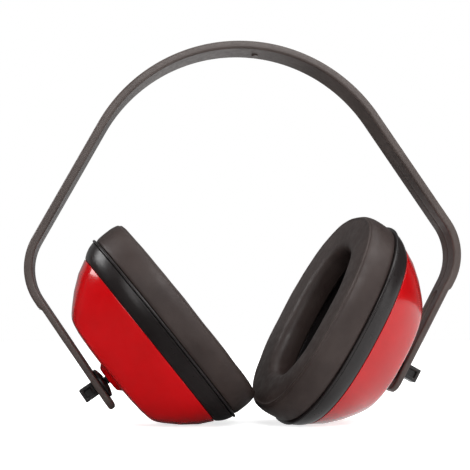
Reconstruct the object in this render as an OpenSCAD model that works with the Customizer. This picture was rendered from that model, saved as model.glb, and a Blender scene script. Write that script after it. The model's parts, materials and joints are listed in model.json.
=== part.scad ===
// Hearing protection earmuffs: a sprung plastic headband whose slotted ends carry two oval cups.
// Each cup hangs on a ball stud, so it slides along its slot, turns, swivels and tilts.
// Frame: +Z up, +X to the wearer's one side, Y front to back. The muffs stand on their two cups,
// and the origin is the centre of the bounding box's bottom.

/* [Headband] */
// Outer radius of the crown arc
crown_r = 80; // [75:1:85]
// Half angle of the crown arc, from straight up
crown_half = 58.6; // [57:0.2:60]
// Length of the straight upper arm
upper_len = 62.7; // [58:0.1:66]
// Outer radius of the elbow
elbow_r = 29; // [26:0.5:31]
// Lean of the lower arm from the vertical, inward and down
arm_lean = 31.5; // [30:0.5:33]
// Length of the straight lower arm
lower_len = 61.6; // [60:0.2:64]
// Width of the band, front to back
band_w = 18; // [16:0.5:20]
// Thickness of the band
band_t = 4; // [3.6:0.1:4.4]
// Depth of the step on the outer face where the slotted blade begins
blade_step = 0.8; // [0.6:0.1:1]
// Length of the slotted blade up from the tip
blade_len = 57.6; // [56:0.2:59]
// Corner radius of the blade's tip
tip_r = 6; // [4:0.5:8]

/* [Height slot] */
// Width of the slot
slot_w = 4.8; // [4.6:0.1:5.2]
// Distance from the tip to the stud at its lowest setting
stud_from_tip = 12.6; // [11:0.2:13]
// How far the slot runs above the lowest stud position
slot_up = 40; // [36:0.5:41]

/* [Slide block, stud and knob] */
// Half length of the tongue that runs in the slot
tongue_half = 4.2; // [3.8:0.1:4.6]
// Side gap between the tongue and the slot
tongue_gap = 0.2; // [0.1:0.05:0.3]
// Radius of the slide block's disc
disc_r = 7.4; // [7:0.1:7.6]
// Thickness of the slide block's disc
disc_t = 1.95; // [1.8:0.05:2]
// Radius of the stud's shaft
shaft_r = 1.9; // [1.7:0.05:2]
// Radius of the stud's ball
ball_r = 4; // [3.8:0.1:4.1]
// Running clearance, radial
run_gap = 0.05; // [0.03:0.01:0.08]
// Length of the lock knob along the band
knob_len = 6.8; // [6.4:0.1:7.2]
// Width of the lock knob across the band
knob_w = 9; // [8:0.5:10]
// How far the lock knob stands out from the blade
knob_h = 6.8; // [6.4:0.1:7.2]

/* [Cup] */
// Half length of the oval at the flange of the cushion plate
flange_half = 53.5; // [53:0.1:54]
// Width of the oval as a share of its length
oval_ratio = 0.76; // [0.74:0.01:0.78]
// Exponent of the oval outline, where 2 is an ellipse
oval_power = 2.4; // [2.2:0.1:2.6]
// Distance that the oval's centre lies above the stud, along the arm
cup_rise = 2.5; // [2.3:0.1:3]
// Height of the outer face above the band's mid-plane
face_n = 8.4; // [8.2:0.1:8.8]
// Half length of the flat part of the outer face
face_half = 23.7; // [22:0.1:25]
// Height of the rounded shoulder
shoulder_h = 4; // [3.5:0.1:4.5]
// Half length at the shoulder
shoulder_half = 33.2; // [32:0.1:34]
// Half length at the rim of the shell
rim_half = 48.9; // [48:0.1:49.5]
// Height of the shell's rim above the band's mid-plane
rim_n = 32.5; // [32:0.1:33]
// Outward bow of the shell's side wall
wall_bow = 1.9; // [1:0.1:2]
// Wall thickness of the shell
shell_t = 2.4; // [2:0.1:2.6]
// Radius of the ball socket's boss
boss_r = 8.5; // [8.2:0.1:8.8]

/* [Ring, plate and cushion] */
// Half length of the back ring at the plate
ring_half = 52; // [51.5:0.1:52.4]
// Depth of the back ring
ring_depth = 7.8; // [7.4:0.1:8]
// Thickness of the cushion plate
plate_t = 1.5; // [1.3:0.1:1.7]
// Depth of the cushion
cushion_depth = 14.2; // [13.8:0.1:14.4]
// Half length of the ear opening
opening_half = 33.5; // [32:0.5:35]
// Width of the ear opening as a share of its length
opening_ratio = 0.62; // [0.6:0.01:0.66]
// Thickness of the cushion's skin
skin_t = 1; // [0.8:0.1:1.2]
// Thickness of the foam liner in the cup
liner_t = 9; // [8:0.5:10]

/* [Rest position] */
// Tilt of the left cup, where plus swings its foot outward
left_tilt = -4.5; // [-4.5:0.5:-4]
// Tilt of the right cup, where plus swings its foot outward
right_tilt = -0.4; // [-0.4:0.1:0]
// Swivel of the left cup, where plus turns its cushion to the front
left_swivel = 0.8; // [0:0.1:1]
// Swivel of the right cup, where plus turns its cushion to the front
right_swivel = 8.7; // [8:0.1:9]

/* [Hidden] */

LEFT = -1;
RIGHT = 1;
round_fn = 96;
oval_steps = 48;
crown_steps = 24;
elbow_steps = 16;
shoulder_steps = 3;
wall_steps = 3;
thin = 0.01;

// Where the muffs stand: their lean, the crown's top above the surface, and the shifts that
// centre the box
stand_lean = 3;
crown_top_z = 184.38;
centre_x = -5.6;
centre_y = 2.91;

// Headband path, right half, in the band's own frame with the crown's top at the origin
upper_lean = 90 - crown_half;
upper_start = [crown_r * sin(crown_half), crown_r * (cos(crown_half) - 1)];
upper_end = upper_start + upper_len * [cos(crown_half), -sin(crown_half)];
elbow_c = upper_end - elbow_r * [sin(crown_half), cos(crown_half)];
lower_start = elbow_c + elbow_r * [cos(arm_lean), -sin(arm_lean)];
stud_len = lower_len - stud_from_tip;
stud_at = lower_start + stud_len * [-sin(arm_lean), -cos(arm_lean)]
    + band_t / 2 * [-cos(arm_lean), sin(arm_lean)];

// Heights above the arm's mid-plane, measured inward
blade_out = blade_step - band_t / 2;
blade_in = band_t / 2;
blade_gap = 0.15;
step_x = stud_from_tip - blade_len;
disc_n = blade_in + blade_gap;
disc_top = disc_n + disc_t;
disc_taper = 2.6;
tongue_n = blade_out + 0.1;
tongue_h = disc_n - blade_out;
knob_n = blade_out - blade_gap;
pivot_n = 10.3;
boss_top_n = 5.9;
boss_top_r = 6.4;
boss_end_n = 18.2;
plate_n = rim_n + ring_depth;
cushion_n = plate_n + plate_t;
front_n = cushion_n + cushion_depth;
inner_half = 40;
inner_ratio = 0.72;
ring_bow = 0.5;
spigot_h = 4;
spigot_half = rim_half - shell_t - 2.6;
plate_lip = 1;
liner_n = boss_end_n - 2;
liner_gap = 1;
liner_bore_r = boss_r + 0.5;
foam_gap = 0.1;

// Outer side of the cushion: share of its depth, and how far it stands out past the ring
cushion_side = [[0, 0], [0.44, 1], [0.83, 0.6], [1, -2]];
// Ear opening: share of the cushion's depth, and how far it is longer than at its narrowest
opening_side = [[-0.1, 3], [0.6, 0], [1.1, 2]];

// Ball joint: the seat grips the ball and turns in the shell's socket
seat_t = 1.55;
seat_r = ball_r + run_gap + seat_t;
socket_r = seat_r + run_gap;
seat_mouth = 42;
socket_mouth = 40;
split_w = 0.8;
cap_n = pivot_n + 2.8;
cap_t = 1.6;
cap_gap = 0.3;
plug_r = socket_r - run_gap;
collar_r = 2.4;
collar_n = knob_n - 4.4;
collar_h = 0.8;
shaft_end_n = knob_n - 5.8;
pocket_depth = 2;
pocket = [3.4, 2 * pocket_depth, 3.6];

assert(front_n < 60, "the cushions would meet");

function signed_pow(v, p) = sign(v) * pow(abs(v), p);

// Oval outline with half length a and half width b; its flat end points along the arm
function oval(a, b) = [
    for (i = [0 : oval_steps - 1])
        let (t = (i + 0.5) * 360 / oval_steps)
            [a * signed_pow(cos(t), 2 / oval_power), b * signed_pow(sin(t), 2 / oval_power)]
];

module stood() {
    translate([centre_x, centre_y, crown_top_z]) rotate([0, -stand_lean, 0]) children();
}

// Frame of one lower arm: x toward the tip, z inward, the origin where the stud crosses the band
module on_arm(side) {
    stood()
        rotate([0, 0, side == RIGHT ? 180 : 0])
            translate([-stud_at[0], 0, stud_at[1]])
                rotate([0, 90 - arm_lean, 0])
                    children();
}

module on_seat(side) {
    swivel = side == RIGHT ? -right_swivel : left_swivel;
    on_arm(side) translate([0, 0, pivot_n]) rotate([swivel, 0, 0]) children();
}

module on_cup(side) {
    tilt = side == RIGHT ? right_tilt : left_tilt;
    on_seat(side) rotate([0, tilt, 0]) translate([0, 0, -pivot_n]) children();
}

// One thin oval slice of the cup, n above the arm's mid-plane
module slice(n, a, ratio = oval_ratio) {
    translate([-cup_rise, 0, n]) linear_extrude(thin) polygon(oval(a, a * ratio));
}

module oval_plate(n, h, a, ratio = oval_ratio) {
    translate([-cup_rise, 0, n]) linear_extrude(h) polygon(oval(a, a * ratio));
}

// Convex cup body: flat face, rounded shoulder, bowed side wall; inset shrinks it for the inside
module cup_body(inset) {
    face = face_n + inset;
    hull() {
        for (k = [0 : shoulder_steps]) {
            turn = 90 * k / shoulder_steps;
            slice(face + shoulder_h * (1 - cos(turn)),
                face_half + (shoulder_half - face_half) * sin(turn) - inset);
        }
        for (k = [1 : wall_steps]) {
            t = k / wall_steps;
            past = k == wall_steps && inset > 0 ? thin : -thin;
            slice(face_n + shoulder_h + t * (rim_n - face_n - shoulder_h) + past,
                shoulder_half + t * (rim_half - shoulder_half) + wall_bow * 4 * t * (1 - t) - inset);
        }
    }
}

// Points of an arc, from one angle to another
function arc(c, r, from, to, steps) = [
    for (i = [0 : steps]) let (turn = from + (to - from) * i / steps) c + r * [cos(turn), sin(turn)]
];

// A point beside the right lower arm, x toward the tip and n inward from the mid-plane
function arm_point(x, n) =
    stud_at + x * [-sin(arm_lean), -cos(arm_lean)] + n * [-cos(arm_lean), sin(arm_lean)];

// Crown and elbow arcs of the right half; inset moves them from the outer face to the inner one
function band_arcs(inset) = concat(
    arc([0, -crown_r], crown_r - inset, 90, upper_lean, crown_steps),
    arc(elbow_c, elbow_r - inset, upper_lean, -arm_lean, elbow_steps)
);

function reversed(points) = [for (i = [len(points) - 1 : -1 : 0]) points[i]];

// Side view of the right half: down the outer face, round the blade's tip, up the inner face
band_right = concat(
    band_arcs(0),
    [
        arm_point(step_x, -band_t / 2), arm_point(step_x, blade_out),
        arm_point(stud_from_tip, blade_out), arm_point(stud_from_tip, blade_in)
    ],
    reversed(band_arcs(band_t))
);
band_left = [for (i = [len(band_right) - 2 : -1 : 1]) [-band_right[i][0], band_right[i][1]]];

// Round-ended slot that the tongue runs in
module height_slot() {
    slot_low = tongue_half + tongue_gap - slot_w / 2;
    for (x = [slot_low, -slot_up])
        translate([x, 0, -band_t]) cylinder(r = slot_w / 2, h = 2 * band_t, $fn = round_fn);
    translate([-slot_up, -slot_w / 2, -band_t]) cube([slot_up + slot_low, slot_w, 2 * band_t]);
}

// What a rounded corner takes off the blade's tip, on the side that edge names
module tip_corner(edge) {
    translate([stud_from_tip - tip_r, edge * (band_w / 2 - tip_r), -band_t]) difference() {
        translate([0, edge < 0 ? -2 * tip_r : 0, 0]) cube([2 * tip_r, 2 * tip_r, 2 * band_t]);
        translate([0, 0, -1]) cylinder(r = tip_r, h = 2 * band_t + 2, $fn = round_fn);
    }
}

module headband() {
    color([0.24, 0.2, 0.19]) difference() {
        stood() rotate([90, 0, 0]) translate([0, 0, -band_w / 2])
            linear_extrude(band_w) polygon(concat(band_right, band_left));
        for (side = [LEFT, RIGHT]) on_arm(side) {
            height_slot();
            for (edge = [-1, 1]) tip_corner(edge);
        }
    }
}

// Black disc against the band's inner face, with a round-ended tongue in the slot
module slide_block(side) {
    tongue_r = slot_w / 2 - tongue_gap;
    reach = tongue_half - tongue_r;
    color([0.1, 0.09, 0.09]) on_arm(side) difference() {
        union() {
            translate([0, 0, disc_n]) cylinder(r = disc_r, h = disc_t / 2, $fn = round_fn);
            translate([0, 0, disc_n + disc_t / 2])
                cylinder(r1 = disc_r, r2 = disc_r - disc_taper, h = disc_t / 2, $fn = round_fn);
            for (x = [-reach, reach])
                translate([x, 0, tongue_n]) cylinder(r = tongue_r, h = tongue_h, $fn = round_fn);
            translate([-reach, -tongue_r, tongue_n]) cube([2 * reach, 2 * tongue_r, tongue_h]);
        }
        translate([0, 0, blade_out - 1])
            cylinder(r = shaft_r + run_gap, h = disc_top - blade_out + 2, $fn = round_fn);
    }
}

// Shaft through the slide block, with the ball inside the cup and a snap collar in the knob
module pivot_stud(side) {
    color([0.16, 0.15, 0.15]) on_arm(side) {
        translate([0, 0, pivot_n]) sphere(r = ball_r, $fn = round_fn);
        translate([0, 0, shaft_end_n]) cylinder(r = shaft_r, h = pivot_n - shaft_end_n, $fn = round_fn);
        translate([0, 0, collar_n]) cylinder(r = collar_r, h = collar_h, $fn = round_fn);
    }
}

// Square snap head on the outer end of the stud, hollowed on its two sides
module lock_knob(side) {
    color([0.12, 0.11, 0.11]) on_arm(side) difference() {
        translate([-knob_len / 2, -knob_w / 2, knob_n - knob_h]) cube([knob_len, knob_w, knob_h]);
        translate([0, 0, shaft_end_n - run_gap])
            cylinder(r = shaft_r + run_gap, h = knob_h, $fn = round_fn);
        translate([0, 0, collar_n - run_gap])
            cylinder(r = collar_r + run_gap, h = collar_h + 2 * run_gap, $fn = round_fn);
        for (y = [-knob_w / 2, knob_w / 2])
            translate([-pocket[0] / 2, y - pocket_depth, knob_n - knob_h / 2 - pocket[2] / 2]) cube(pocket);
    }
}

// Cone with its point at the pivot, opening toward the band
module mouth_cone(half_angle, length) {
    rotate([180, 0, 0]) cylinder(r1 = 0, r2 = length * tan(half_angle), h = length, $fn = round_fn);
}

// Split spherical seat round the ball
module ball_seat(side) {
    color([0.75, 0.74, 0.7]) on_seat(side) difference() {
        sphere(r = seat_r, $fn = round_fn);
        sphere(r = ball_r + run_gap, $fn = round_fn);
        mouth_cone(seat_mouth, seat_r + 1);
        for (turn = [0, 90]) rotate([0, 0, turn])
            translate([-seat_r - 1, -split_w / 2, 0]) cube([2 * seat_r + 2, split_w, seat_r + 1]);
    }
}

// Red moulded shell with the socket's boss through its outer face
module cup_shell(side) {
    color([0.75, 0.02, 0.04]) on_cup(side) difference() {
        union() {
            difference() {
                cup_body(0);
                cup_body(shell_t);
            }
            translate([0, 0, boss_top_n])
                cylinder(r1 = boss_top_r, r2 = boss_r, h = face_n - boss_top_n + thin, $fn = round_fn);
            translate([0, 0, face_n]) cylinder(r = boss_r, h = boss_end_n - face_n, $fn = round_fn);
        }
        translate([0, 0, pivot_n]) sphere(r = socket_r, $fn = round_fn);
        translate([0, 0, pivot_n]) cylinder(r = socket_r, h = boss_end_n - pivot_n + 1, $fn = round_fn);
        translate([0, 0, pivot_n]) mouth_cone(socket_mouth, pivot_n - boss_top_n + 1);
    }
}

// Plug that closes the socket inside the cup and bears on the seat
module socket_cap(side) {
    color([0.15, 0.15, 0.16]) on_cup(side) difference() {
        union() {
            translate([0, 0, cap_n])
                cylinder(r = plug_r, h = boss_end_n - cap_n + 2 * run_gap, $fn = round_fn);
            translate([0, 0, boss_end_n + run_gap]) cylinder(r = boss_r, h = cap_t, $fn = round_fn);
        }
        translate([0, 0, pivot_n]) sphere(r = socket_r, $fn = round_fn);
    }
}

// Foam pad in the bottom of the cup, recessed for the boss and its cap
module cup_liner(side) {
    grow = (rim_half - shoulder_half) / (rim_n - face_n - shoulder_h);
    half = shoulder_half + (liner_n - face_n - shoulder_h) * grow - shell_t - liner_gap;
    bore_h = boss_end_n + cap_t + cap_gap - liner_n;
    color([0.22, 0.21, 0.22]) on_cup(side) difference() {
        hull() {
            slice(liner_n, half);
            slice(liner_n + liner_t, half + liner_t * grow);
        }
        translate([0, 0, liner_n - 1]) cylinder(r = liner_bore_r, h = bore_h + 1, $fn = round_fn);
    }
}

// Black ring that closes the shell's rim, with a spigot inside it
module back_ring(side) {
    color([0.09, 0.08, 0.08]) on_cup(side) difference() {
        union() {
            hull() {
                slice(rim_n, rim_half);
                slice(rim_n + ring_depth / 2, (rim_half + ring_half) / 2 + ring_bow);
                slice(plate_n - thin, ring_half);
            }
            oval_plate(rim_n - spigot_h, spigot_h + thin, spigot_half);
        }
        oval_plate(rim_n - spigot_h - 1, ring_depth + spigot_h + 2, inner_half, inner_ratio);
    }
}

// Thin stiff plate that carries the cushion and clips to the ring; its edge shows as a sharp lip
module cushion_plate(side) {
    color([0.1, 0.09, 0.09]) on_cup(side) difference() {
        oval_plate(plate_n, plate_t, flange_half);
        oval_plate(plate_n - 1, plate_t + 2, inner_half - plate_lip, inner_ratio);
    }
}

// Cushion solid, shrunk all round by inset, with the ear opening grown by the same amount
module cushion_form(inset) {
    low = cushion_n + inset;
    depth = cushion_depth - 2 * inset - thin;
    ratio = opening_ratio + inset / opening_half;
    difference() {
        hull() for (side = cushion_side) slice(low + depth * side[0], ring_half + side[1] - inset);
        hull() for (side = opening_side)
            slice(low + depth * side[0], opening_half + side[1] + inset, ratio);
    }
}

module cushion_foam(side) {
    color([0.8, 0.78, 0.6]) on_cup(side) cushion_form(skin_t + foam_gap);
}

// Soft vinyl skin round the foam
module cushion_skin(side) {
    color([0.25, 0.21, 0.2]) on_cup(side) difference() {
        cushion_form(0);
        cushion_form(skin_t);
    }
}

headband();
slide_block(LEFT);  // left_slide_block
pivot_stud(LEFT);  // left_pivot_stud
lock_knob(LEFT);  // left_lock_knob
ball_seat(LEFT);  // left_ball_seat
cup_shell(LEFT);  // left_cup_shell
socket_cap(LEFT);  // left_socket_cap
cup_liner(LEFT);  // left_cup_liner
back_ring(LEFT);  // left_back_ring
cushion_plate(LEFT);  // left_cushion_plate
cushion_foam(LEFT);  // left_cushion_foam
cushion_skin(LEFT);  // left_cushion_skin
slide_block(RIGHT);  // right_slide_block
pivot_stud(RIGHT);  // right_pivot_stud
lock_knob(RIGHT);  // right_lock_knob
ball_seat(RIGHT);  // right_ball_seat
cup_shell(RIGHT);  // right_cup_shell
socket_cap(RIGHT);  // right_socket_cap
cup_liner(RIGHT);  // right_cup_liner
back_ring(RIGHT);  // right_back_ring
cushion_plate(RIGHT);  // right_cushion_plate
cushion_foam(RIGHT);  // right_cushion_foam
cushion_skin(RIGHT);  // right_cushion_skin
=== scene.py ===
"""Looks for a pair of hearing protection earmuffs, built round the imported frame.

Every length in the classes is in millimetres, in the local frame of one arm or one cup: x runs
along the lower arm toward its tip, z runs inward toward the head, and the origin is where the
stud's axis crosses the middle of the headband. The frames turn those into metres.
"""

from __future__ import annotations

import json
import logging
import math
from dataclasses import dataclass
from enum import Enum
from typing import Iterable, Sequence

import bmesh
import bpy
from mathutils import Matrix, Vector, noise


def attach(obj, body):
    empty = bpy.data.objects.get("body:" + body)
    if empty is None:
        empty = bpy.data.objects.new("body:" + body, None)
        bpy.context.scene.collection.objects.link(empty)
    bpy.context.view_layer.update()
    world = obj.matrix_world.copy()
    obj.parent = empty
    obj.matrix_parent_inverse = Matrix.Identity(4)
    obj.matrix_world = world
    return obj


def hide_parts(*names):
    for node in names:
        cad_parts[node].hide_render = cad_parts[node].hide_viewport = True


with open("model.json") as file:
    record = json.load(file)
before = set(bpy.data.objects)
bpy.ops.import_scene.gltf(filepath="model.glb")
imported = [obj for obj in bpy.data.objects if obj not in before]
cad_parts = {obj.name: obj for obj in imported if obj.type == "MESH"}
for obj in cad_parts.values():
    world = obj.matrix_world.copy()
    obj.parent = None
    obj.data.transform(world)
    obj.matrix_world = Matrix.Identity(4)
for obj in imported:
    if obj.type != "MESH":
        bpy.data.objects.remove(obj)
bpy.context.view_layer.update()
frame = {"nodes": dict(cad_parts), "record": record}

LOG = logging.getLogger("earmuffs")
MM = 0.001
RING_STEPS = 96
PIVOT_N = 10.3  # from the band's middle to the ball joint's centre
CUP_RISE = 2.5  # from the stud's axis up to the middle of the cup's oval
OVAL_RATIO = 0.76
OVAL_POWER = 2.4  # 2 is an ellipse, and more is squarer
NEAR = 0.1  # slack when edges and points are picked by where they are
EXACT = 0.01
ROW = "row"
HELD = "held"
Colour = tuple[float, float, float]
Amount = float | bpy.types.NodeSocket


class Side(Enum):
    """The two sides of the muffs, named as the nodes are."""

    LEFT = "left"
    RIGHT = "right"

    def node(self, part: str) -> str:
        """The name of this side's node or body for a part."""
        return f"{self.value}_{part}"


def add_object(name: str, data: bpy.types.ID) -> bpy.types.Object:
    """Makes an object of some data and links it to the scene."""
    made = bpy.data.objects.new(name, data)
    bpy.context.scene.collection.objects.link(made)
    return made


def face_toward(thing: bpy.types.Object, at: Sequence[float], aim: Sequence[float]) -> None:
    """Places a lamp or camera and turns it to face a point."""
    thing.location = at
    thing.rotation_euler = (Vector(aim) - Vector(at)).to_track_quat("-Z", "Y").to_euler()


def axes_matrix(x: Vector, y: Vector, z: Vector, origin: Vector) -> Matrix:
    """A matrix from millimetres on three axes to metres in the shared frame."""
    turn = Matrix((x, y, z)).transposed().to_4x4()
    return Matrix.Translation(origin) @ turn @ Matrix.Scale(MM, 4)


@dataclass(frozen=True)
class SideFrames:
    """The two local frames of one side."""

    arm: Matrix
    cup: Matrix

    @classmethod
    def of(cls, side: Side) -> SideFrames:
        """Reads the frames off the record's joints and ear seal mount.

        Args:
            side: Which side.

        Returns:
            The arm's and the cup's frames.
        """
        record = frame["record"]
        joints = {j["name"]: j for j in record["behaviour"]["joints"]}
        seal = next(m for m in record["mounts"] if m["name"] == side.node("ear_seal"))
        turn = joints[side.node("stud_turn")]
        pivot = Vector(turn["pos_m"])
        inward = Vector(turn["axis"]).normalized()
        tipward = -Vector(joints[side.node("height_slide")]["axis"]).normalized()
        cup_z = Vector(seal["axis"]).normalized()
        cup_y = Vector(joints[side.node("cup_tilt")]["axis"]).normalized()
        return cls(
            arm=axes_matrix(tipward, inward.cross(tipward), inward, pivot - PIVOT_N * MM * inward),
            cup=axes_matrix(cup_y.cross(cup_z), cup_y, cup_z, pivot - PIVOT_N * MM * cup_z),
        )


# Shader nodes


def map_range(tree: bpy.types.NodeTree, value: bpy.types.NodeSocket, low: Amount, high: Amount,
              start: float = 0.0, end: float = 1.0) -> bpy.types.NodeSocket:
    """Maps start to end onto low to high, clamped.

    Args:
        tree: The node tree.
        value: The socket to map.
        low: Result at start, a number or a socket.
        high: Result at end, a number or a socket.
        start: The value that gives low.
        end: The value that gives high.

    Returns:
        The mapped socket.
    """
    made = tree.nodes.new("ShaderNodeMapRange")
    tree.links.new(value, made.inputs["Value"])
    for key, amount in (("From Min", start), ("From Max", end), ("To Min", low), ("To Max", high)):
        if isinstance(amount, bpy.types.NodeSocket):
            tree.links.new(amount, made.inputs[key])
        else:
            made.inputs[key].default_value = amount
    return made.outputs["Result"]


class NodeGraph:
    """A thin layer over one material's node tree."""

    def __init__(self, name: str) -> None:
        """Makes the material and its shader.

        Args:
            name: The material's name.
        """
        self.material = bpy.data.materials.new(name)
        self.material.use_nodes = True
        self.tree = self.material.node_tree
        self.shader = self.tree.nodes["Principled BSDF"]
        self.place = self.tree.nodes.new("ShaderNodeTexCoord").outputs["Object"]

    def add(self, kind: str, **settings: object) -> bpy.types.Node:
        """Adds a node; settings that name an input set or link it, others set a property.

        Args:
            kind: The node's type, without the ShaderNode prefix.
            settings: Inputs by name with underscores for spaces, or node properties.

        Returns:
            The new node.
        """
        made = self.tree.nodes.new("ShaderNode" + kind)
        for key, value in settings.items():
            label = key.replace("_", " ")
            if hasattr(made, key) and label not in made.inputs:
                setattr(made, key, value)
            elif isinstance(value, bpy.types.NodeSocket):
                self.tree.links.new(value, made.inputs[label])
            else:
                made.inputs[label].default_value = value
        return made

    def link(self, source: bpy.types.NodeSocket, target: bpy.types.NodeSocket) -> None:
        """Links two sockets."""
        self.tree.links.new(source, target)

    def grain(self, scale: float, detail: float = 3.0, rough: float = 0.55) -> bpy.types.NodeSocket:
        """A noise value on object coordinates, with scale in features per metre."""
        made = self.add("TexNoise", Vector=self.place, Scale=scale, Detail=detail, Roughness=rough)
        return made.outputs["Fac"]

    def cells(self, scale: float) -> bpy.types.NodeSocket:
        """A Voronoi distance on object coordinates, with scale in cells per metre."""
        return self.add("TexVoronoi", Vector=self.place, Scale=scale).outputs["Distance"]

    def spread(self, value: bpy.types.NodeSocket, low: float, high: float,
               start: float = 0.3, end: float = 0.7) -> bpy.types.NodeSocket:
        """Maps the middle of a noise's range onto low to high.

        Args:
            value: The noise.
            low: Result at start.
            high: Result at end.
            start: The noise's value that gives low.
            end: The noise's value that gives high.

        Returns:
            The mapped socket.
        """
        return map_range(self.tree, value, low, high, start, end)

    def blend(self, factor: bpy.types.NodeSocket, first: Sequence[float],
              second: Sequence[float]) -> bpy.types.NodeSocket:
        """Mixes two colours by a factor.

        Args:
            factor: The mixing socket.
            first: Colour at 0.
            second: Colour at 1.

        Returns:
            The colour socket.
        """
        made = self.tree.nodes.new("ShaderNodeMix")
        made.data_type = "RGBA"
        self.link(factor, made.inputs[0])
        made.inputs[6].default_value = (*first, 1.0)
        made.inputs[7].default_value = (*second, 1.0)
        return made.outputs[2]

    def bumps(self, layers: Iterable[tuple[bpy.types.NodeSocket, float, float]]) -> None:
        """Stacks bump layers into the shader's normal.

        Args:
            layers: Height socket, strength and depth in metres of each layer.
        """
        normal = None
        for height, strength, depth in layers:
            made = self.add("Bump", Strength=strength, Distance=depth, Height=height)
            if normal is not None:
                self.link(normal, made.inputs["Normal"])
            normal = made.outputs["Normal"]
        self.link(normal, self.shader.inputs["Normal"])

    def constant(self, **values: float) -> None:
        """Sets shader sockets that are the same all over."""
        for key, value in values.items():
            self.shader.inputs[key.replace("_", " ")].default_value = value


@dataclass(frozen=True)
class MouldedPlastic:
    """Injection-moulded plastic: mottled colour, mould grain, faint flow marks and fine scuffs."""

    name: str
    deep: Colour
    light: Colour
    rough: tuple[float, float]
    grain_scale: float = 2600.0
    grain_depth: float = 0.00003
    grain_strength: float = 0.25
    coat: float = 0.0
    coat_rough: float = 0.05
    ripple: float = 0.0
    shine: float = 0.5

    def build(self) -> bpy.types.Material:
        """Makes the material.

        Returns:
            The material.
        """
        graph = NodeGraph(self.name)
        mottle = graph.spread(graph.grain(55.0, 4.0), 0.0, 1.0)
        graph.link(graph.blend(mottle, self.deep, self.light), graph.shader.inputs["Base Color"])
        scuff = graph.grain(420.0, 6.0, 0.7)
        graph.link(graph.spread(scuff, *self.rough), graph.shader.inputs["Roughness"])
        layers = [(graph.grain(self.grain_scale, 2.0), self.grain_strength, self.grain_depth)]
        if self.ripple:
            layers.append((graph.grain(38.0, 1.0), self.ripple, 0.0006))
        graph.bumps(layers)
        graph.constant(Coat_Weight=self.coat, Coat_Roughness=self.coat_rough, IOR=1.5,
                       Specular_IOR_Level=self.shine)
        return graph.material


@dataclass(frozen=True)
class SoftVinyl:
    """Soft PVC skin: pebbled leather-like grain, faint creases and a slightly greasy sheen."""

    name: str
    deep: Colour
    light: Colour

    def build(self) -> bpy.types.Material:
        """Makes the material.

        Returns:
            The material.
        """
        graph = NodeGraph(self.name)
        mottle = graph.spread(graph.grain(70.0, 5.0), 0.0, 1.0)
        graph.link(graph.blend(mottle, self.deep, self.light), graph.shader.inputs["Base Color"])
        graph.link(graph.spread(graph.grain(260.0, 4.0), 0.42, 0.62), graph.shader.inputs["Roughness"])
        graph.bumps((
            (graph.cells(1500.0), 0.22, 0.00008),
            (graph.grain(3200.0, 2.0), 0.15, 0.00003),
            (graph.grain(120.0, 3.0), 0.25, 0.00025),
        ))
        graph.constant(Coat_Weight=0.05, Coat_Roughness=0.35, Specular_IOR_Level=0.35, IOR=1.48)
        return graph.material


@dataclass(frozen=True)
class OpenFoam:
    """Open-cell foam: small hollow cells between thin walls, each hollow darkened with painted shade.
    """

    name: str
    wall: Colour
    pit_shade_colour: Colour
    cell_scale: float = 900.0

    def build(self) -> bpy.types.Material:
        """Makes the material.

        Returns:
            The material.
        """
        graph = NodeGraph(self.name)
        # Painted shade: each foam cell's hollow is darkened toward the second colour, where shade would
        # fall.
        pit_shade_mask = graph.spread(graph.cells(self.cell_scale), 0.0, 1.0, 0.1, 0.6)
        graph.link(graph.blend(pit_shade_mask, self.wall, self.pit_shade_colour), graph.shader.inputs["Base Color"])
        graph.link(graph.spread(graph.grain(300.0), 0.85, 1.0), graph.shader.inputs["Roughness"])
        graph.bumps(((graph.cells(self.cell_scale), 0.8, 0.0004), (graph.grain(2500.0), 0.3, 0.0001)))
        graph.constant(Sheen_Weight=0.2, Sheen_Roughness=0.7)
        return graph.material


class Finish(Enum):
    """Every finish on the muffs, by the record's material slot."""

    BAND = "band_plastic"
    HARDWARE = "hardware_plastic"
    SEAT = "seat_plastic"
    SHELL = "shell_red"
    RING = "ring_plastic"
    LINER = "liner_foam"
    FOAM = "cushion_foam"
    VINYL = "cushion_vinyl"


RECIPES = {
    Finish.BAND: MouldedPlastic("band plastic", (0.044, 0.031, 0.027), (0.066, 0.049, 0.043),
                                (0.36, 0.52), grain_scale=2200.0, grain_strength=0.22, ripple=0.06),
    Finish.HARDWARE: MouldedPlastic("hardware plastic", (0.008, 0.007, 0.007), (0.02, 0.018, 0.018),
                                    (0.3, 0.45)),
    Finish.SEAT: MouldedPlastic("seat plastic", (0.5, 0.48, 0.43), (0.6, 0.58, 0.52), (0.4, 0.55)),
    Finish.SHELL: MouldedPlastic("shell red", (0.36, 0.0006, 0.0016), (0.43, 0.001, 0.003), (0.12, 0.2),
                                 grain_scale=900.0, grain_depth=0.00002, grain_strength=0.06,
                                 coat=0.3, coat_rough=0.04, ripple=0.05, shine=0.45),
    Finish.RING: MouldedPlastic("ring plastic", (0.007, 0.005, 0.005), (0.014, 0.011, 0.011),
                                (0.26, 0.36), grain_strength=0.03, ripple=0.04, shine=0.4),
    # Each foam's second colour is painted shade for the hollows of its cells.
    Finish.LINER: OpenFoam("liner foam", (0.03, 0.028, 0.028), (0.006, 0.005, 0.005)),
    Finish.FOAM: OpenFoam("cushion foam", (0.62, 0.58, 0.4), (0.3, 0.27, 0.16), 1400.0),
    Finish.VINYL: SoftVinyl("cushion vinyl", (0.025, 0.0155, 0.0135), (0.036, 0.024, 0.021)),
}


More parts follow.
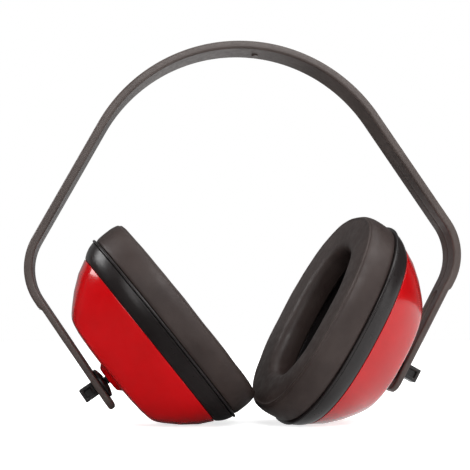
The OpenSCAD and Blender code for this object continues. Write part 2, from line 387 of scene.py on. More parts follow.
class Paintbox:
    """Makes each finish once and dresses pieces with it."""

    def __init__(self) -> None:
        """Builds every material."""
        self.materials = {finish: recipe.build() for finish, recipe in RECIPES.items()}

    def dress(self, piece: bpy.types.Object, finish: Finish) -> None:
        """Gives a piece or a frame node one finish."""
        piece.data.materials.clear()
        piece.data.materials.append(self.materials[finish])

    def fit(self, piece: bpy.types.Object, body: str, node: str, finish: Finish) -> bpy.types.Object:
        """Dresses a piece and puts it on the frame.

        Args:
            piece: The piece.
            body: The body it rides on.
            node: The frame node it stands for.
            finish: Its finish.

        Returns:
            The same piece.
        """
        self.dress(piece, finish)
        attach(piece, body)
        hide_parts(node)
        return piece


# Mesh helpers


@dataclass(frozen=True)
class Point:
    """One corner of a ring-shaped profile.

    oval is 1 on the cup's oval and 0 on a circle round the stud's axis, and what lies between
    passes from one to the other.
    """

    n: float
    half: float
    ratio: float = OVAL_RATIO
    round: float = 0.0
    oval: float = 1.0

    def toward(self, other: Point, share: float) -> Point:
        """The point part of the way to another: share is 0 here and 1 there."""
        mix = [a + (b - a) * share for a, b in zip(self.values(), other.values())]
        return Point(mix[0], mix[1], mix[2], 0.0, mix[3])

    def values(self) -> tuple[float, float, float, float]:
        """The values that blend."""
        return self.n, self.half, self.ratio, self.oval

    def gap(self, other: Point) -> float:
        """The distance to another point in the profile's plane."""
        return math.hypot(other.n - self.n, other.half - self.half)

    def place(self, turn: float) -> Vector:
        """Where this profile point lies on the ring.

        Args:
            turn: Angle round the ring, in radians.

        Returns:
            The place, in millimetres.
        """
        power = 2.0 / (2.0 + (OVAL_POWER - 2.0) * self.oval)
        cos, sin = math.cos(turn), math.sin(turn)
        width = self.half * (1.0 + (self.ratio - 1.0) * self.oval)
        return Vector((
            self.half * math.copysign(abs(cos) ** power, cos) - CUP_RISE * self.oval,
            width * math.copysign(abs(sin) ** power, sin),
            self.n,
        ))


def rounded(corners: Sequence[Point], closed: bool = True, steps: int = 4) -> list[Point]:
    """Rounds the corners of a profile.

    Args:
        corners: The profile's corners, each with its rounding length.
        closed: Whether the last corner joins the first.
        steps: Pieces in each rounding.

    Returns:
        The finer profile.
    """
    out: list[Point] = []
    count = len(corners)
    for i, corner in enumerate(corners):
        if not corner.round or (not closed and i in (0, count - 1)):
            out.append(corner)
            continue
        before, after = corners[i - 1], corners[(i + 1) % count]
        start = corner.toward(before, min(0.48, corner.round / corner.gap(before)))
        end = corner.toward(after, min(0.48, corner.round / corner.gap(after)))
        for k in range(steps + 1):
            share = k / steps
            out.append(start.toward(corner, share).toward(corner.toward(end, share), share))
    return out


def smoothed(corners: Sequence[Point], passes: int = 1) -> list[Point]:
    """Cuts the corners of a closed profile again and again, for soft shapes.

    Args:
        corners: The closed profile's corners.
        passes: How many times to cut.

    Returns:
        The softened profile.
    """
    points = list(corners)
    for _ in range(passes):
        cut: list[Point] = []
        for here, there in zip(points, points[1:] + points[:1]):
            cut += [here.toward(there, 0.25), here.toward(there, 0.75)]
        points = cut
    return points


def ring_mesh(profile: Sequence[Point], closed: bool = True) -> bmesh.types.BMesh:
    """Carries a profile round the cup's axis.

    A tube of unit rings is extruded first, one ring for each profile point, and then each ring
    is shaped to its oval. An open profile is closed with a pole at each end.

    Args:
        profile: The profile's points.
        closed: Whether the profile closes on itself.

    Returns:
        The mesh, in millimetres.
    """
    mesh = bmesh.new()
    bmesh.ops.create_circle(mesh, segments=RING_STEPS, radius=1.0)
    first = list(mesh.edges)
    edges = first
    for level in range(1, len(profile)):
        grown = bmesh.ops.extrude_edge_only(mesh, edges=edges)["geom"]
        verts = [g for g in grown if isinstance(g, bmesh.types.BMVert)]
        bmesh.ops.translate(mesh, vec=(0, 0, 1), verts=verts)
        edges = [g for g in grown if isinstance(g, bmesh.types.BMEdge) and
                 all(v.co.z > level - 0.5 for v in g.verts)]
    if closed:
        bmesh.ops.bridge_loops(mesh, edges=first + edges)
    rows = mesh.verts.layers.int.new(ROW)
    for vert in mesh.verts:
        vert[rows] = min(len(profile) - 1, round(vert.co.z))
        vert.co = profile[vert[rows]].place(math.atan2(vert.co.y, vert.co.x))
    if not closed:
        for loop in (first, edges):
            around = list({v for e in loop for v in e.verts})
            centre = sum((v.co for v in around), Vector()) / len(around)
            bmesh.ops.pointmerge(mesh, verts=around, merge_co=centre)
    return mesh


def finish_mesh(mesh: bmesh.types.BMesh, name: str, place: Matrix) -> bpy.types.Object:
    """Moves a mesh to its place, turns its faces outward and makes the object.

    Args:
        mesh: The mesh, in millimetres.
        name: The object's name.
        place: The local frame.

    Returns:
        The object, at the origin.
    """
    bmesh.ops.remove_doubles(mesh, verts=mesh.verts, dist=0.001)
    bmesh.ops.transform(mesh, matrix=place, verts=mesh.verts)
    bmesh.ops.recalc_face_normals(mesh, faces=mesh.faces)
    for face in mesh.faces:
        face.smooth = True
    data = bpy.data.meshes.new(name)
    mesh.to_mesh(data)
    mesh.free()
    return add_object(name, data)


def even_shading(piece: bpy.types.Object) -> None:
    """Keeps broad flats flat beside their rounded edges."""
    made = piece.modifiers.new("even shading", "WEIGHTED_NORMAL")
    made.keep_sharp = True


def bevel(mesh: bmesh.types.BMesh, edges: Iterable[bmesh.types.BMEdge], offset: float,
          segments: int = 3, clamp: bool = True) -> None:
    """Rounds edges.

    Args:
        mesh: The mesh.
        edges: Which edges.
        offset: The rounding's size.
        segments: Faces across each rounding.
        clamp: Whether short edges nearby may limit the rounding.
    """
    bmesh.ops.bevel(mesh, geom=list(edges), offset=offset, offset_type="OFFSET", segments=segments,
                    profile=0.5, affect="EDGES", clamp_overlap=clamp, material=-1)


def upright(edge: bmesh.types.BMEdge) -> bool:
    """Whether an edge runs through a piece's thickness."""
    return abs(edge.verts[0].co.z - edge.verts[1].co.z) > 1


def append_mesh(target: bmesh.types.BMesh, source: bmesh.types.BMesh) -> None:
    """Adds one mesh to another and frees it."""
    data = bpy.data.meshes.new("part")
    source.to_mesh(data)
    source.free()
    target.from_mesh(data)
    bpy.data.meshes.remove(data)


# Headband


@dataclass(frozen=True)
class Headband:
    """The springy band: built as a flat strip with its slots, then bent to shape."""

    crown_r: float = 80.0
    crown_half: float = math.radians(58.6)
    upper_len: float = 62.7
    elbow_r: float = 29.0
    arm_lean: float = math.radians(31.5)
    lower_len: float = 61.6
    width: float = 18.0
    thick: float = 4.0
    blade_step: float = 0.8
    blade_len: float = 57.6
    tip_round: float = 6.0
    slot_w: float = 4.8
    slot_low: float = 8.2
    slot_high: float = 55.0
    edge: float = 1.15
    groove_w: float = 0.9
    groove_depth: float = 0.45
    step_ramp: float = 0.4
    slot_edge: float = 0.4
    gate_at: tuple[float, float] = (10.0, 2.0)
    gate_r: float = 1.7
    gate_face_r: float = 1.5
    gate_t: float = 0.8
    gate_drop: float = 0.9

    @property
    def crown_len(self) -> float:
        """Length of half the crown arc along the outer face."""
        return self.crown_r * self.crown_half

    @property
    def elbow_turn(self) -> float:
        """How far the elbow turns."""
        return math.pi / 2 - self.crown_half + self.arm_lean

    @property
    def half_len(self) -> float:
        """Length of half the strip along the outer face."""
        return self.crown_len + self.upper_len + self.elbow_r * self.elbow_turn + self.lower_len

    def bend(self, flat: Vector) -> Vector:
        """Carries a point of the flat strip onto the bent band.

        Args:
            flat: Distance along the outer face, place across, and height (0 outer, minus inward).

        Returns:
            The point in the band's own frame, with the crown's top at the origin.
        """
        side = -1.0 if flat.x < 0 else 1.0
        along, deep = abs(flat.x), -flat.z
        if along <= self.crown_len:
            turn = along / self.crown_r
            x, z = self.polar(0.0, -self.crown_r, self.crown_r - deep, turn)
            return Vector((side * x, flat.y, z))
        start = self.polar(0.0, -self.crown_r, self.crown_r, self.crown_half)
        down = (math.cos(self.crown_half), -math.sin(self.crown_half))
        along -= self.crown_len
        if along <= self.upper_len:
            x = start[0] + along * down[0] + deep * down[1]
            z = start[1] + along * down[1] - deep * down[0]
            return Vector((side * x, flat.y, z))
        end = (start[0] + self.upper_len * down[0], start[1] + self.upper_len * down[1])
        centre = (end[0] + self.elbow_r * down[1], end[1] - self.elbow_r * down[0])
        along -= self.upper_len
        reach = self.elbow_r * self.elbow_turn
        turn = self.crown_half + min(along, reach) / self.elbow_r
        x, z = self.polar(centre[0], centre[1], self.elbow_r - deep, turn)
        past = max(0.0, along - reach)
        x -= past * math.sin(self.arm_lean)
        return Vector((side * x, flat.y, z - past * math.cos(self.arm_lean)))

    @staticmethod
    def polar(x: float, z: float, radius: float, turn: float) -> tuple[float, float]:
        """A point on an arc, with turn measured from straight up."""
        return x + radius * math.sin(turn), z + radius * math.cos(turn)

    def flat_strip(self) -> bmesh.types.BMesh:
        """The strip with its steps, rounded tips, slots and edges, before bending.

        Returns:
            The flat mesh, in millimetres.
        """
        mesh = bmesh.new()
        bmesh.ops.create_cube(mesh, size=1.0)
        bmesh.ops.scale(mesh, vec=(2 * self.half_len, self.width, self.thick), verts=mesh.verts)
        bmesh.ops.translate(mesh, vec=(0, 0, -self.thick / 2), verts=mesh.verts)
        step_at = self.half_len - self.blade_len
        cuts = [step_at, step_at + self.step_ramp, *self.slot_span()]
        for end in (-1, 1):
            for cut in cuts:
                self.cut(mesh, (end * cut, 0, 0), (1, 0, 0))
        for y in (-self.slot_w / 2, self.slot_w / 2):
            self.cut(mesh, (0, y, 0), (0, 1, 0))
        for vert in mesh.verts:
            if abs(vert.co.x) > step_at + self.step_ramp / 2 and vert.co.z > -NEAR:
                vert.co.z = -self.blade_step
        self.open_slots(mesh)
        tips = [e for e in mesh.edges if upright(e) and
                all(abs(v.co.x) > self.half_len - NEAR for v in e.verts) and
                all(abs(v.co.y) > self.width / 2 - NEAR for v in e.verts)]
        bevel(mesh, tips, self.tip_round, 10)
        self.round_edges(mesh)
        for cut in self.bend_cuts():
            self.cut(mesh, (cut, 0, 0), (1, 0, 0))
        self.press_groove(mesh)
        return mesh

    @staticmethod
    def cut(mesh: bmesh.types.BMesh, at: Sequence[float], normal: Sequence[float],
            faces: Sequence[bmesh.types.BMFace] | None = None) -> None:
        """Adds edges where a plane crosses the mesh, or crosses some of its faces.

        Args:
            mesh: The mesh.
            at: A point of the plane.
            normal: The plane's normal.
            faces: Which faces to cut, or None for all.
        """
        if faces is None:
            geom = mesh.verts[:] + mesh.edges[:] + mesh.faces[:]
        else:
            geom = [*{v for f in faces for v in f.verts}, *{e for f in faces for e in f.edges}, *faces]
        bmesh.ops.bisect_plane(mesh, geom=geom, plane_co=at, plane_no=normal, dist=0.0001)

    def bend_cuts(self, pitch: float = 1.6) -> list[float]:
        """Where the strip needs edges so that its arcs bend smoothly.

        Args:
            pitch: Greatest distance between edges.

        Returns:
            Places along the strip, on both sides.
        """
        elbow_from = self.crown_len + self.upper_len
        spans = ((0.0, self.crown_len), (elbow_from, elbow_from + self.elbow_r * self.elbow_turn))
        cuts = []
        for low, high in spans:
            count = math.ceil((high - low) / pitch)
            cuts += [low + (high - low) * k / count for k in range(count + 1)]
        return sorted({round(side * c, 6) for c in cuts for side in (-1, 1)})

    def open_slots(self, mesh: bmesh.types.BMesh) -> None:
        """Opens the two height slots and rounds their ends."""
        low, high = self.slot_span()
        for side in (-1, 1):
            window = [f for f in mesh.faces if abs(f.normal.z) > 0.9 and
                      low < side * f.calc_center_median().x < high and
                      abs(f.calc_center_median().y) < self.slot_w / 2]
            rims = [e for f in window for e in f.edges if sum(g in window for g in e.link_faces) == 1]
            bmesh.ops.delete(mesh, geom=window, context="FACES_ONLY")
            made = bmesh.ops.bridge_loops(mesh, edges=list(dict.fromkeys(rims)))
            posts = [e for e in made["edges"] if upright(e) and
                     abs(abs(e.verts[0].co.y) - self.slot_w / 2) < EXACT and
                     min(abs(abs(e.verts[0].co.x) - low), abs(abs(e.verts[0].co.x) - high)) < EXACT]
            bevel(mesh, posts, self.slot_w / 2 - 0.02, 8)

    def slot_span(self) -> tuple[float, float]:
        """Where each slot starts and ends, from the crown's top."""
        return self.half_len - self.slot_high, self.half_len - self.slot_low

    def in_slot(self, vert: bmesh.types.BMVert) -> bool:
        """Whether a point is on a slot's rim."""
        low, high = self.slot_span()
        return abs(vert.co.y) < self.slot_w / 2 + 0.05 and low - NEAR < abs(vert.co.x) < high + NEAR

    def round_edges(self, mesh: bmesh.types.BMesh) -> None:
        """Rounds the long edges and tips fully, and the slot and step lightly."""
        sharp = [e for e in mesh.edges if e.calc_face_angle(0.0) > math.radians(40)]
        slot = [e for e in sharp if all(self.in_slot(v) for v in e.verts)]
        outer = [e for e in sharp if e not in set(slot) and
                 (any(abs(v.co.y) > self.width / 2 - EXACT for v in e.verts) or
                  all(abs(v.co.x) > self.half_len - self.tip_round - NEAR for v in e.verts))]
        bevel(mesh, slot, self.slot_edge, 2)
        outer = [e for e in outer if e.is_valid]
        bevel(mesh, outer, self.edge, 4, clamp=False)

    def press_groove(self, mesh: bmesh.types.BMesh) -> None:
        """Presses the fine centre groove into the inner face, from the upper arms to the slots."""
        start = self.crown_len + self.upper_len * 0.35
        end = self.half_len - self.slot_high - 1.5
        for side in (-1, 1):
            for along in (start, end):
                self.cut(mesh, (side * along, 0, 0), (1, 0, 0))
        for y in (-self.groove_w / 2, 0.0, self.groove_w / 2):
            faces = [f for f in mesh.faces if f.normal.z < -0.9 and
                     start < abs(f.calc_center_median().x) < end]
            self.cut(mesh, (0, y, 0), (0, 1, 0), faces)
        for vert in mesh.verts:
            inside = start + NEAR < abs(vert.co.x) < end - NEAR
            if inside and abs(vert.co.y) < EXACT and vert.co.z < -self.thick + EXACT:
                vert.co.z += self.groove_depth

    def frame(self) -> Matrix:
        """The band's own frame: its top at the crown, leaning as the muffs stand."""
        mount = next(m for m in frame["record"]["mounts"] if m["name"] == "crown_rest")
        up = -Vector(mount["axis"]).normalized()
        across = Vector((0, 1, 0)).cross(up).normalized()
        top = Vector(mount["pos_m"]) + self.thick * MM * up
        return axes_matrix(across, up.cross(across), up, top)

    def build(self, paint: Paintbox) -> bpy.types.Object:
        """Makes the headband.

        Args:
            paint: The finishes.

        Returns:
            The piece.
        """
        mesh = self.flat_strip()
        for vert in mesh.verts:
            vert.co = self.bend(vert.co)
        gate = bmesh.new()
        bmesh.ops.create_cone(gate, cap_ends=True, segments=24, radius1=self.gate_r,
                              radius2=self.gate_face_r, depth=self.gate_t)
        bevel(gate, [e for e in gate.edges if abs(e.verts[0].co.z - e.verts[1].co.z) < 0.1], 0.15, 2)
        bmesh.ops.translate(gate, vec=(*self.gate_at, -self.thick - self.gate_drop), verts=gate.verts)
        append_mesh(mesh, gate)
        piece = finish_mesh(mesh, "headband_moulding", self.frame())
        even_shading(piece)
        return paint.fit(piece, "headband", "headband", Finish.BAND)


# Hardware


@dataclass(frozen=True)
class StudHardware:
    """What holds a cup to its slot: the slide block inside the blade and the knob outside."""

    side: Side
    frames: SideFrames
    paint: Paintbox
    disc_n: float = 2.15
    disc_r: float = 7.4
    disc_t: float = 1.95
    bore_r: float = 1.95
    tongue: tuple[float, float, float] = (8.4, 4.4, 3.25)
    knob: tuple[float, float, float] = (6.8, 9.0, 6.8)
    rim_t: float = 1.3
    taper: float = 1.9
    collar_t: float = 0.5
    collar_w: float = 1.4
    tongue_edge: float = 0.25
    knob_n: float = -1.35
    knob_edge: float = 0.4
    hollow_rim: float = 1.5
    hollow_depth: float = 2.0
    split_rim: float = 1.9
    split_depth: float = 0.9
    hollow_draft: float = 0.12

    def slide_block(self) -> bpy.types.Object:
        """Makes the disc with its tongue.

        Returns:
            The piece.
        """
        top, low = self.disc_n + self.disc_t, self.disc_n
        collar = top + self.collar_t
        profile = rounded([
            Point(low, self.bore_r, oval=0, round=0.2),
            Point(low, self.disc_r, oval=0, round=0.35),
            Point(low + self.rim_t, self.disc_r, oval=0, round=0.4),
            Point(top, self.disc_r - self.taper, oval=0, round=0.4),
            Point(collar, self.bore_r + self.collar_w, oval=0, round=0.3),
            Point(collar, self.bore_r, oval=0, round=0.1),
        ])
        mesh = ring_mesh(profile)
        _, wide, deep = self.tongue
        tongue = bmesh.new()
        bmesh.ops.create_cube(tongue, size=1.0)
        bmesh.ops.scale(tongue, vec=self.tongue, verts=tongue.verts)
        bevel(tongue, [e for e in tongue.edges if upright(e)], wide / 2 - 0.05, 6)
        bevel(tongue, [e for e in tongue.edges if all(v.co.z < 0 for v in e.verts)],
              self.tongue_edge, 2)
        bmesh.ops.translate(tongue, vec=(0, 0, low - deep / 2 + 0.1), verts=tongue.verts)
        append_mesh(mesh, tongue)
        piece = finish_mesh(mesh, self.side.node("slide_disc"), self.frames.arm)
        even_shading(piece)
        return self.fit(piece, "slider", "slide_block")

    def lock_knob(self) -> bpy.types.Object:
        """Makes the square snap head with a hollow in each side and a split in its face.

        Returns:
            The piece.
        """
        mesh = bmesh.new()
        bmesh.ops.create_cube(mesh, size=1.0)
        bmesh.ops.scale(mesh, vec=self.knob, verts=mesh.verts)
        bmesh.ops.translate(mesh, vec=(0, 0, self.knob_n - self.knob[2] / 2), verts=mesh.verts)
        hollows = [f for f in mesh.faces if abs(f.normal.y) > 0.9]
        split = [f for f in mesh.faces if f.normal.z < -0.9]
        for faces, rim, depth in ((hollows, self.hollow_rim, self.hollow_depth),
                                  (split, self.split_rim, self.split_depth)):
            bmesh.ops.inset_individual(mesh, faces=faces, thickness=rim, use_even_offset=True)
            bmesh.ops.inset_individual(mesh, faces=faces, thickness=self.hollow_draft,
                                       depth=-depth, use_even_offset=True)
        sharp = [e for e in mesh.edges if e.calc_face_angle(0.0) > math.radians(50)]
        bevel(mesh, sharp, self.knob_edge)
        piece = finish_mesh(mesh, self.side.node("snap_head"), self.frames.arm)
        even_shading(piece)
        return self.fit(piece, "stud", "lock_knob")

    def fit(self, piece: bpy.types.Object, body: str, node: str) -> bpy.types.Object:
        """Dresses a hardware piece and puts it on this side's body."""
        return self.paint.fit(piece, self.side.node(body), self.side.node(node), Finish.HARDWARE)


# Cups


@dataclass(frozen=True)
class Cup:
    """One oval cup: shell, liner, back ring, cushion plate and cushion."""

    side: Side
    frames: SideFrames
    paint: Paintbox
    boss_r: float = 8.5
    boss_top_n: float = 5.9
    socket_r: float = 5.65
    face_n: float = 8.4
    rim_n: float = 32.5
    rim_half: float = 48.9
    wall: float = 2.4
    ring_half: float = 52.0
    plate_n: float = 40.3
    plate_t: float = 1.5
    flange_half: float = 53.5
    inner_half: float = 40.0
    inner_ratio: float = 0.72
    opening_half: float = 33.5
    opening_width: float = 20.8
    front_n: float = 56.0
    skin: float = 1.1
    foot_hold: float = 1.2
    bead_span: tuple[float, float] = (0.02, 0.13)
    bead_depth: float = 1.6
    uneven: float = 0.22
    uneven_depth: float = 14.0
    cushion_fill: float = 0.75
    liner_fill: float = 0.5

    def shell_profile(self) -> list[Point]:
        """Round the shell's wall once: boss, face, shoulder, side wall, rim, and back inside."""
        return rounded([
            Point(self.boss_top_n, 4.3, oval=0, round=0.3),
            Point(self.boss_top_n, 6.5, oval=0, round=0.7),
            Point(8.0, self.boss_r, oval=0, round=0.7),
            Point(8.1, 11.5, ratio=0.8, oval=0.2),
            Point(self.face_n, 18.5, oval=0.8),
            Point(8.9, 24.5, oval=1),
            Point(10.0, 30.6, round=2.6),
            Point(13.0, 34.2, round=2.0),
            Point(19.1, 40.2), Point(25.8, 45.4),
            Point(self.rim_n - 0.1, self.rim_half, round=0.35),
            Point(self.rim_n - 0.1, self.rim_half - self.wall, round=0.35),
            Point(25.8, 43.0), Point(19.1, 37.7),
            Point(13.0, 31.2, round=2.0),
            Point(10.9, 25.0, round=1.5), Point(10.8, 13.0, oval=0.3),
            Point(10.8, self.boss_r, oval=0, round=0.4),
            Point(18.2, self.boss_r, oval=0, round=0.4),
            Point(18.2, self.socket_r, oval=0, round=0.3),
            Point(PIVOT_N, self.socket_r, oval=0, round=1.0),
            Point(7.0, 4.4, oval=0, round=0.3),
        ])

    def ring_profile(self) -> list[Point]:
        """The back ring: a fine groove beside the shell, a rounded flank and the spigot inside."""
        return rounded([
            Point(self.rim_n - 0.05, self.rim_half - 0.7, round=0.1),
            Point(self.rim_n + 0.35, self.rim_half + 0.2, round=0.3),
            Point(34.6, 50.5, round=1.0), Point(37.2, 51.9, round=1.2),
            Point(self.plate_n - 0.05, 52.75, round=0.3),
            Point(self.plate_n - 0.05, self.inner_half, self.inner_ratio, round=0.5),
            Point(28.5, self.inner_half, self.inner_ratio, round=0.5),
            Point(28.5, 43.9, round=0.4), Point(self.rim_n - 0.05, 43.9),
        ])

    def plate_profile(self) -> list[Point]:
        """The cushion plate, whose edge is a thin sharp lip."""
        top = self.plate_n + self.plate_t
        return rounded([
            Point(self.plate_n, self.inner_half - 1, self.inner_ratio, round=0.3),
            Point(self.plate_n, 50.5), Point(self.plate_n + 0.25, self.flange_half, round=0.25),
            Point(top - 0.25, self.flange_half, round=0.3), Point(top, 52.3, round=0.2),
            Point(top, self.inner_half - 1, self.inner_ratio, round=0.3),
        ])

    def cushion_point(self, inward: float, n: float) -> Point:
        """A point of the cushion between its outer oval, 0, and its opening, 1."""
        outer_width = self.ring_half * OVAL_RATIO
        half = self.ring_half + (self.opening_half - self.ring_half) * inward
        width = outer_width + (self.opening_width - outer_width) * inward
        return Point(n, half, width / half)

    def holds(self, point: Point) -> float:
        """How firmly the cushion's skin is held at a profile point while it swells.

        Args:
            point: The profile point.

        Returns:
            1 at the welded foot and the bead, and 0 where the skin is free.
        """
        inward = (self.ring_half - point.half) / (self.ring_half - self.opening_half)
        foot = point.n < self.plate_n + self.plate_t + self.foot_hold
        low, high = self.bead_span
        bead = low < inward < high and point.n > self.front_n - self.bead_depth
        return 1.0 if foot or bead else 0.0

    def cushion_profile(self) -> list[Point]:
        """The cushion's skin: welded foot, full side, fine bead, crowned face and rolled opening."""
        base = self.plate_n + self.plate_t
        front = self.front_n
        return smoothed([self.cushion_point(inward, n) for inward, n in (
            (0.10, base + 0.1), (0.0, base + 0.1), (-0.012, base + 0.5), (-0.03, base + 1.4),
            (-0.035, base + 3.4), (-0.04, base + 5.2), (-0.04, base + 7.4), (-0.035, base + 9.6),
            (-0.01, front - 2.4), (0.012, front - 1.6), (0.04, front - 1.25), (0.05, front - 1.2),
            (0.058, front - 0.7), (0.085, front - 0.35), (0.11, front - 0.65), (0.15, front - 0.8),
            (0.25, front - 0.6), (0.4, front - 0.5), (0.55, front - 0.5), (0.7, front - 0.6),
            (0.83, front - 0.9), (0.94, front - 2.2), (1.0, front - 4.2), (1.0, front - 6.6),
            (0.99, front - 9.0), (0.95, base + 2.4), (0.9, base + 0.1), (0.5, base + 0.1),
        )])

    def liner_profile(self) -> list[Point]:
        """The foam pad, domed in front and hollowed behind for the socket's boss."""
        return rounded([
            Point(20.2, 0.4, oval=0), Point(20.2, 9.2, oval=0, round=0.8),
            Point(16.3, 9.6, oval=0, round=0.8), Point(16.3, 32.6, round=1.5),
            Point(21.0, 37.2, round=2.0), Point(26.6, 41.6, round=1.5),
            Point(27.8, 39.0, round=1.6), Point(26.6, 30.0, round=3.0),
            Point(25.2, 15.0, oval=0.5, round=3.0), Point(25.0, 0.4, oval=0),
        ], closed=False)

    def fit(self, piece: bpy.types.Object, node: str, finish: Finish) -> bpy.types.Object:
        """Dresses a piece and puts it on this side's cup."""
        return self.paint.fit(piece, self.side.node("cup"), self.side.node(node), finish)

    def piece(self, mesh: bmesh.types.BMesh, name: str) -> bpy.types.Object:
        """Makes one of the cup's pieces from its mesh."""
        return finish_mesh(mesh, self.side.node(name), self.frames.cup)

    def hard_pieces(self) -> list[bpy.types.Object]:
        """Makes the shell, the back ring and the cushion plate.

        Returns:
            The three pieces.
        """
        made = []
        for profile, name, node, finish in (
            (self.shell_profile(), "shell_moulding", "cup_shell", Finish.SHELL),
            (self.ring_profile(), "ring_moulding", "back_ring", Finish.RING),
            (self.plate_profile(), "lip_plate", "cushion_plate", Finish.RING),
        ):
            piece = self.piece(ring_mesh(profile), name)
            made.append(self.fit(piece, node, finish))
        return made

    def cushion(self) -> bpy.types.Object:
        """Makes the soft cushion, ready to be swelled.

        Returns:
            The piece.
        """
        mesh = ring_mesh(self.cushion_profile())
        soften(mesh, self.front_n - self.uneven_depth, self.uneven)
        piece = self.piece(mesh, "ear_cushion")
        hold_rows(piece, [self.holds(point) for point in self.cushion_profile()])
        return self.fit(piece, "cushion_skin", Finish.VINYL)

    def foam_ring(self) -> bpy.types.Object:
        """Makes the foam ring that fills the cushion, a skin's thickness inside it.

        Returns:
            The piece.
        """
        base, front = self.plate_n + self.plate_t + self.skin, self.front_n - self.skin
        profile = smoothed([self.cushion_point(inward, n) for inward, n in (
            (0.06, base + 0.1), (0.03, base + 1.9), (0.022, base + 5.9), (0.03, base + 8.9),
            (0.06, front - 1.5), (0.12, front - 0.8), (0.3, front - 0.65), (0.55, front - 0.6),
            (0.75, front - 0.8), (0.87, front - 1.5), (0.935, front - 3.5), (0.935, front - 7.0),
            (0.9, base + 1.9), (0.86, base + 0.1), (0.5, base + 0.1),
        )])
        piece = self.piece(ring_mesh(profile), "foam_ring")
        return self.fit(piece, "cushion_foam", Finish.FOAM)

    def liner(self) -> bpy.types.Object:
        """Makes the foam liner.

        Returns:
            The piece.
        """
        piece = self.piece(ring_mesh(self.liner_profile(), closed=False), "foam_pad")
        return self.fit(piece, "cup_liner", Finish.LINER)


def soften(mesh: bmesh.types.BMesh, foot_n: float, height: float, fade: float = 6.0,
           broad: float = 11.0, fine: float = 4.5) -> None:
    """Gives a soft piece slight unevenness that fades out at its foot.

    Args:
        mesh: The mesh, in millimetres.
        foot_n: Height below which nothing moves.
        height: Greatest movement.
        fade: Over what height the movement comes in.
        broad: Size of the broad lumps.
        fine: Size of the finer lumps.
    """
    mesh.normal_update()
    moves = []
    for vert in mesh.verts:
        rise = min(1.0, max(0.0, (vert.co.z - foot_n) / fade))
        lump = noise.noise(vert.co / broad) + 0.5 * noise.noise(vert.co / fine)
        moves.append(vert.normal * (lump * height * rise))
    for vert, move in zip(mesh.verts, moves):
        vert.co += move


def hold_rows(piece: bpy.types.Object, weights: Sequence[float]) -> None:
    """Marks which rows of a ring-built piece are held while it swells.

    Args:
        piece: The piece.
        weights: How firmly each row is held.
    """
    group = piece.vertex_groups.new(name=HELD)
    for vert, row in zip(piece.data.vertices, piece.data.attributes[ROW].data):
        group.add([vert.index], weights[row.value], "REPLACE")


@dataclass(frozen=True)
class Swelling:
    """Cloth under pressure: soft skins fill out between the places where they are held."""

    pressure: float = 4.0
    tension: float = 25.0
    bending: float = 2.0
    mass: float = 0.2
    frames: int = 20
    reach: float = 0.0007
    quality: int = 8

    def cloth(self, piece: bpy.types.Object) -> None:
        """Puts the cloth on one piece.

        Args:
            piece: The piece.
        """
        made = piece.modifiers.new("swelling", "CLOTH")
        cloth = made.settings
        cloth.quality = self.quality
        cloth.mass = self.mass
        cloth.tension_stiffness = cloth.compression_stiffness = self.tension
        cloth.shear_stiffness = self.tension
        cloth.bending_stiffness = self.bending
        cloth.use_pressure = True
        cloth.uniform_pressure_force = self.pressure
        cloth.vertex_group_mass = HELD
        cloth.effector_weights.gravity = 0.0
        made.point_cache.frame_start = 1
        made.point_cache.frame_end = self.frames

    def run(self, pieces: Sequence[bpy.types.Object]) -> None:
        """Swells the pieces, limits how far any point moved and leaves plain meshes.

        Args:
            pieces: The soft pieces.
        """
        for piece in pieces:
            self.cloth(piece)
        scene = bpy.context.scene
        for step in range(1, self.frames + 1):
            scene.frame_set(step)
        graph = bpy.context.evaluated_depsgraph_get()
        swelled = [[v.co.copy() for v in piece.evaluated_get(graph).data.vertices] for piece in pieces]
        for piece, places in zip(pieces, swelled):
            far = 0.0
            for vert, place in zip(piece.data.vertices, places):
                move = place - vert.co
                far = max(far, move.length)
                if move.length > self.reach:
                    move.length = self.reach
                vert.co += move
            piece.modifiers.clear()
            LOG.info("%s swelled, at most %.2f mm before its limit", piece.name, far / MM)
        scene.frame_set(1)


# Studio


@dataclass(frozen=True)
class Lamp:
    """One soft rectangular lamp that faces the muffs."""

    name: str
    at: tuple[float, float, float]
    size: tuple[float, float]
    power: float

    def build(self, aim: Sequence[float]) -> bpy.types.Object:
        """Hangs the lamp.

        Args:
            aim: What it faces.

        Returns:
            The lamp.
        """
        data = bpy.data.lights.new(self.name, "AREA")
        data.shape = "RECTANGLE"
        data.size, data.size_y = self.size
        data.energy = self.power
        lamp = add_object(self.name, data)
        face_toward(lamp, self.at, aim)
        return lamp


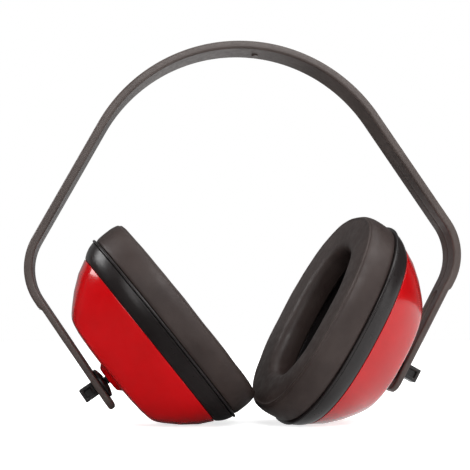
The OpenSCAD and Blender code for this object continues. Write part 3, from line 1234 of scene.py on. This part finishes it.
@dataclass(frozen=True)
class Studio:
    """A pale floor, soft lamps and the camera, low in front of the muffs."""

    eye: tuple[float, float, float] = (-0.0622, -0.4769, 0.0447)
    aim: tuple[float, float, float] = (-0.0053, 0.0039, 0.0903)
    lens: float = 76.6
    floor_size: float = 6.0
    floor_glow: float = 0.75
    floor_mirrored: tuple[float, float] = (0.04, 1.1)
    floor_fade: float = 0.06
    floor_drop: float = 0.0002
    room_light: float = 0.38
    room_mirrored: tuple[float, float] = (0.04, 0.3)
    room_fade: tuple[float, float] = (0.3, 0.9)
    lamps: tuple[Lamp, ...] = (
        Lamp("top softbox", (0.1, -0.1, 1.3), (1.6, 1.6), 13.0),
        Lamp("right softbox", (0.9, -0.6, 1.0), (0.6, 0.6), 6.0),
        Lamp("right strip", (0.9, -0.5, 0.05), (0.25, 0.5), 0.8),
        Lamp("left strip", (-0.75, -1.0, 0.2), (0.25, 0.9), 2.6),
        Lamp("left fill", (-1.2, 0.25, 0.8), (0.6, 0.6), 8.0),
        Lamp("front softbox", (0.15, -1.2, 0.75), (0.7, 0.5), 9.0),
    )

    def floor(self) -> bpy.types.Object:
        """Lays the floor.

        Returns:
            The floor.
        """
        mesh = bmesh.new()
        bmesh.ops.create_grid(mesh, x_segments=1, y_segments=1, size=self.floor_size / 2)
        bmesh.ops.translate(mesh, vec=(0, 0, -self.floor_drop), verts=mesh.verts)
        data = bpy.data.meshes.new("studio floor")
        mesh.to_mesh(data)
        mesh.free()
        floor = add_object("studio_floor", data)
        graph = NodeGraph("pale floor")
        graph.constant(Roughness=0.8, Specular_IOR_Level=0.1)
        graph.shader.inputs["Base Color"].default_value = (0.9, 0.9, 0.9, 1.0)
        graph.shader.inputs["Emission Color"].default_value = (1.0, 1.0, 1.0, 1.0)
        path = graph.add("LightPath")
        glow = graph.spread(path.outputs["Is Camera Ray"], 0.0, self.floor_glow, 0.0, 1.0)
        graph.link(glow, graph.shader.inputs["Emission Strength"])
        across = graph.add("SeparateXYZ", Vector=graph.place)
        bright = graph.spread(across.outputs["X"], *self.floor_mirrored, 0.0, self.floor_fade)
        dim = graph.add("Emission", Strength=bright)
        mix = graph.tree.nodes.new("ShaderNodeMixShader")
        graph.link(path.outputs["Is Glossy Ray"], mix.inputs[0])
        graph.link(graph.shader.outputs[0], mix.inputs[1])
        graph.link(dim.outputs[0], mix.inputs[2])
        graph.link(mix.outputs[0], graph.tree.nodes["Material Output"].inputs["Surface"])
        data.materials.append(graph.material)
        return floor

    def world(self) -> None:
        """Sets a white backdrop that lights the muffs only dimly."""
        world = bpy.data.worlds.new("studio")
        bpy.context.scene.world = world
        world.use_nodes = True
        tree = world.node_tree
        backdrop = tree.nodes["Background"]
        path = tree.nodes.new("ShaderNodeLightPath").outputs
        toward = tree.nodes.new("ShaderNodeSeparateXYZ")
        place = tree.nodes.new("ShaderNodeTexCoord").outputs["Generated"]
        tree.links.new(place, toward.inputs["Vector"])
        behind = map_range(tree, toward.outputs["Y"], *self.room_mirrored, *self.room_fade)
        mirrored = map_range(tree, path["Is Glossy Ray"], self.room_light, behind)
        seen = map_range(tree, path["Is Camera Ray"], mirrored, 1.0)
        tree.links.new(seen, backdrop.inputs["Strength"])
        backdrop.inputs["Color"].default_value = (1.0, 1.0, 1.0, 1.0)

    def camera(self) -> bpy.types.Object:
        """Places the camera.

        Returns:
            The camera.
        """
        data = bpy.data.cameras.new("camera")
        data.lens = self.lens
        data.sensor_width = 36.0
        data.clip_start = 0.01
        camera = add_object("camera", data)
        face_toward(camera, self.eye, self.aim)
        bpy.context.scene.camera = camera
        return camera

    def build(self) -> None:
        """Sets the whole studio up."""
        bpy.context.scene.view_settings.view_transform = "Standard"
        self.camera()
        self.world()
        self.floor()
        for lamp in self.lamps:
            lamp.build(self.aim)


KEPT_NODES = {
    "pivot_stud": Finish.HARDWARE,
    "ball_seat": Finish.SEAT,
    "socket_cap": Finish.HARDWARE,
}


def main() -> None:
    """Builds the studio and every piece, and reports each."""
    logging.basicConfig(level=logging.INFO, format="%(name)s: %(message)s")
    Studio().build()
    paint = Paintbox()
    pieces = [Headband().build(paint)]
    soft = []
    for side in Side:
        frames = SideFrames.of(side)
        hardware = StudHardware(side, frames, paint)
        cup = Cup(side, frames, paint)
        pieces += [hardware.slide_block(), hardware.lock_knob()]
        pieces += [*cup.hard_pieces(), cup.liner()]
        soft.append(cup.cushion())
        pieces.append(cup.foam_ring())
        for part, finish in KEPT_NODES.items():
            paint.dress(frame["nodes"][side.node(part)], finish)
    Swelling().run(soft)
    for piece in soft:
        finer = piece.modifiers.new("finer", "SUBSURF")
        finer.levels = finer.render_levels = 1
    for piece in pieces + soft:
        LOG.info("%s: %d faces", piece.name, len(piece.data.polygons))


if __name__ == "__main__":
    main()
